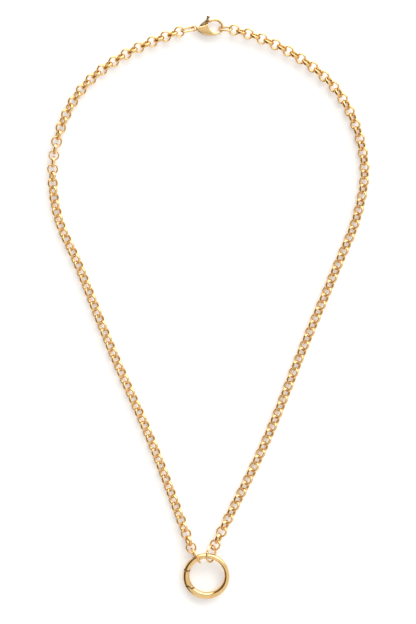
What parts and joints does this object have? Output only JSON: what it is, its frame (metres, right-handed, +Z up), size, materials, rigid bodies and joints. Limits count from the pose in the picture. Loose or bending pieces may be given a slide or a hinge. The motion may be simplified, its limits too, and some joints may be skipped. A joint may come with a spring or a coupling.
{
  "type": "chain necklace",
  "caption": "Chain necklace of round belcher links with a lobster clasp and a round push-gate charm ring hung from two jump rings.",
  "frame": {"origin": "middle of the bounding box, on the surface that the necklace lies on", "axes": "+Y from the charm ring to the clasp, +X to the right seen from above, +Z up out of the surface"},
  "size_m": [0.1254, 0.2278, 0.0072],
  "materials": {
    "chain_gold": "polished half-round wire, gold plated",
    "fitting_gold": "polished, gold plated",
    "charm_ring_gold": "polished, gold plated, gently rounded edges",
    "spring_steel": "plain spring steel"
  },
  "bodies": {
    "clasp": {"clasp_body": "fitting_gold", "clasp_lever_pin": "fitting_gold", "clasp_spring": "spring_steel"},
    "clasp_lever": {"clasp_lever": "fitting_gold"},
    "left_00": {"clasp_jump_ring": "fitting_gold"},
    "left_01": {"chain_left_01": "chain_gold", "chain_left_02": "chain_gold"},
    "left_02": {"chain_left_03": "chain_gold", "chain_left_04": "chain_gold"},
    "left_03": {"chain_left_05": "chain_gold", "chain_left_06": "chain_gold"},
    "left_04": {"chain_left_07": "chain_gold", "chain_left_08": "chain_gold", "marker_ring": "fitting_gold"},
    "left_05": {"chain_left_09": "chain_gold", "chain_left_10": "chain_gold"},
    "left_06": {"chain_left_11": "chain_gold", "chain_left_12": "chain_gold"},
    "left_07": {"chain_left_13": "chain_gold", "chain_left_14": "chain_gold"},
    "left_08": {"chain_left_15": "chain_gold", "chain_left_16": "chain_gold"},
    "left_09": {"chain_left_17": "chain_gold", "chain_left_18": "chain_gold"},
    "left_10": {"chain_left_19": "chain_gold", "chain_left_20": "chain_gold"},
    "left_11": {"chain_left_21": "chain_gold", "chain_left_22": "chain_gold"},
    "left_12": {"charm_jump_ring_left": "fitting_gold"},
    "right_00": {"end_jump_ring": "fitting_gold"},
    "right_01": {"chain_right_01": "chain_gold", "chain_right_02": "chain_gold"},
    "right_02": {"chain_right_03": "chain_gold", "chain_right_04": "chain_gold"},
    "right_03": {"chain_right_05": "chain_gold", "chain_right_06": "chain_gold"},
    "right_04": {"chain_right_07": "chain_gold", "chain_right_08": "chain_gold"},
    "right_05": {"chain_right_09": "chain_gold", "chain_right_10": "chain_gold"},
    "right_06": {"chain_right_11": "chain_gold", "chain_right_12": "chain_gold"},
    "right_07": {"chain_right_13": "chain_gold", "chain_right_14": "chain_gold"},
    "right_08": {"chain_right_15": "chain_gold", "chain_right_16": "chain_gold"},
    "right_09": {"chain_right_17": "chain_gold", "chain_right_18": "chain_gold"},
    "right_10": {"chain_right_19": "chain_gold", "chain_right_20": "chain_gold"},
    "right_11": {"chain_right_21": "chain_gold", "chain_right_22": "chain_gold"},
    "right_12": {"charm_jump_ring_right": "fitting_gold"},
    "charm_ring": {"charm_ring_body": "charm_ring_gold", "charm_ring_gate_pin": "charm_ring_gold", "charm_ring_gate_spring": "spring_steel"},
    "gate": {"charm_ring_gate": "charm_ring_gold"}
  },
  "joints": [
    {"name": "clasp_lever_open", "type": "hinge", "parent": "clasp", "child": "clasp_lever", "pos_m": [-0.00313, 0.10909, 0.00122], "axis": [0, 0, 1], "range_deg": [0, 25], "stiffness_Nm_per_rad": 0.002, "springref_deg": -20.05},
    {"name": "fold_00", "type": "hinge", "parent": "clasp", "child": "left_00", "pos_m": [-0.00605, 0.10898, 0.00122], "axis": [-1, 0, 0], "range_deg": [0, 18]},
    {"name": "fold_00_right", "type": "hinge", "parent": "clasp", "child": "right_00", "pos_m": [0.00475, 0.10898, 0.00122], "axis": [-1, 0, 0], "range_deg": [0, 18]},
    {"name": "fold_01", "type": "hinge", "parent": "left_00", "child": "left_01", "pos_m": [-0.00996, 0.10794, 0.00213], "axis": [-0.9994, -0.0333, 0], "range_deg": [0, 18]},
    {"name": "fold_01_right", "type": "hinge", "parent": "right_00", "child": "right_01", "pos_m": [0.00877, 0.10856, 0.00213], "axis": [-0.9994, -0.0333, 0], "range_deg": [0, 18]},
    {"name": "fold_02", "type": "hinge", "parent": "left_01", "child": "left_02", "pos_m": [-0.02835, 0.10081, 0.0021], "axis": [-1, 0.0028, 0.0001], "range_deg": [0, 18]},
    {"name": "fold_02_right", "type": "hinge", "parent": "right_01", "child": "right_02", "pos_m": [0.03002, 0.10065, 0.0021], "axis": [-1, 0.0028, 0.0001], "range_deg": [0, 18]},
    {"name": "fold_03", "type": "hinge", "parent": "left_02", "child": "left_03", "pos_m": [-0.04681, 0.08802, 0.00201], "axis": [-0.9999, -0.0127, 0], "range_deg": [0, 18]},
    {"name": "fold_03_right", "type": "hinge", "parent": "right_02", "child": "right_03", "pos_m": [0.04623, 0.0892, 0.00201], "axis": [-0.9999, -0.0127, 0], "range_deg": [0, 18]},
    {"name": "fold_04", "type": "hinge", "parent": "left_03", "child": "left_04", "pos_m": [-0.05709, 0.07134, 0.00201], "axis": [-0.9999, 0.0119, 0.001], "range_deg": [0, 18]},
    {"name": "fold_04_right", "type": "hinge", "parent": "right_03", "child": "right_04", "pos_m": [0.05797, 0.06997, 0.00189], "axis": [-0.9999, 0.0119, 0.001], "range_deg": [0, 18]},
    {"name": "fold_05", "type": "hinge", "parent": "left_04", "child": "left_05", "pos_m": [-0.06061, 0.0469, 0.00193], "axis": [-1, -0.0059, 0.001], "range_deg": [0, 18]},
    {"name": "fold_05_right", "type": "hinge", "parent": "right_04", "child": "right_05", "pos_m": [0.06071, 0.04761, 0.00181], "axis": [-1, -0.0059, 0.001], "range_deg": [0, 18]},
    {"name": "fold_06", "type": "hinge", "parent": "left_05", "child": "left_06", "pos_m": [-0.05462, 0.02532, 0.00177], "axis": [-1, -0.0044, 0], "range_deg": [0, 18]},
    {"name": "fold_06_right", "type": "hinge", "parent": "right_05", "child": "right_06", "pos_m": [0.05453, 0.02581, 0.00177], "axis": [-1, -0.0044, 0], "range_deg": [0, 18]},
    {"name": "fold_07", "type": "hinge", "parent": "left_06", "child": "left_07", "pos_m": [-0.04691, 0.00716, 0.00176], "axis": [-1, -0.0032, 0], "range_deg": [0, 18]},
    {"name": "fold_07_right", "type": "hinge", "parent": "right_06", "child": "right_07", "pos_m": [0.04683, 0.00746, 0.00176], "axis": [-1, -0.0032, 0], "range_deg": [0, 18]},
    {"name": "fold_08", "type": "hinge", "parent": "left_07", "child": "left_08", "pos_m": [-0.0387, -0.01384, 0.00175], "axis": [-1, -0.0042, 0], "range_deg": [0, 18]},
    {"name": "fold_08_right", "type": "hinge", "parent": "right_07", "child": "right_08", "pos_m": [0.03807, -0.01352, 0.00175], "axis": [-1, -0.0042, 0], "range_deg": [0, 18]},
    {"name": "fold_09", "type": "hinge", "parent": "left_08", "child": "left_09", "pos_m": [-0.02975, -0.03455, 0.00175], "axis": [-1, 0.0021, 0], "range_deg": [0, 18]},
    {"name": "fold_09_right", "type": "hinge", "parent": "right_08", "child": "right_09", "pos_m": [0.02973, -0.03467, 0.00175], "axis": [-1, 0.0021, 0], "range_deg": [0, 18]},
    {"name": "fold_10", "type": "hinge", "parent": "left_09", "child": "left_10", "pos_m": [-0.02093, -0.0553, 0.00175], "axis": [-1, 0.0085, 0], "range_deg": [0, 18]},
    {"name": "fold_10_right", "type": "hinge", "parent": "right_09", "child": "right_10", "pos_m": [0.02098, -0.05566, 0.00175], "axis": [-1, 0.0085, 0], "range_deg": [0, 18]},
    {"name": "fold_11", "type": "hinge", "parent": "left_10", "child": "left_11", "pos_m": [-0.01396, -0.07377, 0.00177], "axis": [-1, -0.008, 0], "range_deg": [0, 18]},
    {"name": "fold_11_right", "type": "hinge", "parent": "right_10", "child": "right_11", "pos_m": [0.01229, -0.07355, 0.00177], "axis": [-1, -0.008, 0], "range_deg": [0, 18]},
    {"name": "fold_12", "type": "hinge", "parent": "left_11", "child": "left_12", "pos_m": [-0.00622, -0.09495, 0.00245], "axis": [-0.9911, -0.1311, -0.0249], "range_deg": [0, 18]},
    {"name": "fold_12_right", "type": "hinge", "parent": "right_11", "child": "right_12", "pos_m": [0.00205, -0.09386, 0.00266], "axis": [-0.9911, -0.1311, -0.0249], "range_deg": [0, 18]},
    {"name": "ring_turn", "type": "hinge", "parent": "left_12", "child": "charm_ring", "pos_m": [-0.00077, -0.10472, 0.00253], "axis": [0, -0.1219, 0.9925], "range_deg": [-25, 40]},
    {"name": "gate_open", "type": "hinge", "parent": "charm_ring", "child": "gate", "pos_m": [-0.00789, -0.10119, 0.00296], "axis": [0, -0.1219, 0.9925], "range_deg": [0, 35], "stiffness_Nm_per_rad": 0.003, "springref_deg": -20.05}
  ],
  "couplings": [
    {"joint": "fold_00_right", "follows": "fold_00", "ratio": 1},
    {"joint": "fold_01_right", "follows": "fold_01", "ratio": 1},
    {"joint": "fold_02_right", "follows": "fold_02", "ratio": 1},
    {"joint": "fold_03_right", "follows": "fold_03", "ratio": 1},
    {"joint": "fold_04_right", "follows": "fold_04", "ratio": 1},
    {"joint": "fold_05_right", "follows": "fold_05", "ratio": 1},
    {"joint": "fold_06_right", "follows": "fold_06", "ratio": 1},
    {"joint": "fold_07_right", "follows": "fold_07", "ratio": 1},
    {"joint": "fold_08_right", "follows": "fold_08", "ratio": 1},
    {"joint": "fold_09_right", "follows": "fold_09", "ratio": 1},
    {"joint": "fold_10_right", "follows": "fold_10", "ratio": 1},
    {"joint": "fold_11_right", "follows": "fold_11", "ratio": 1},
    {"joint": "fold_12_right", "follows": "fold_12", "ratio": 1}
  ]
}
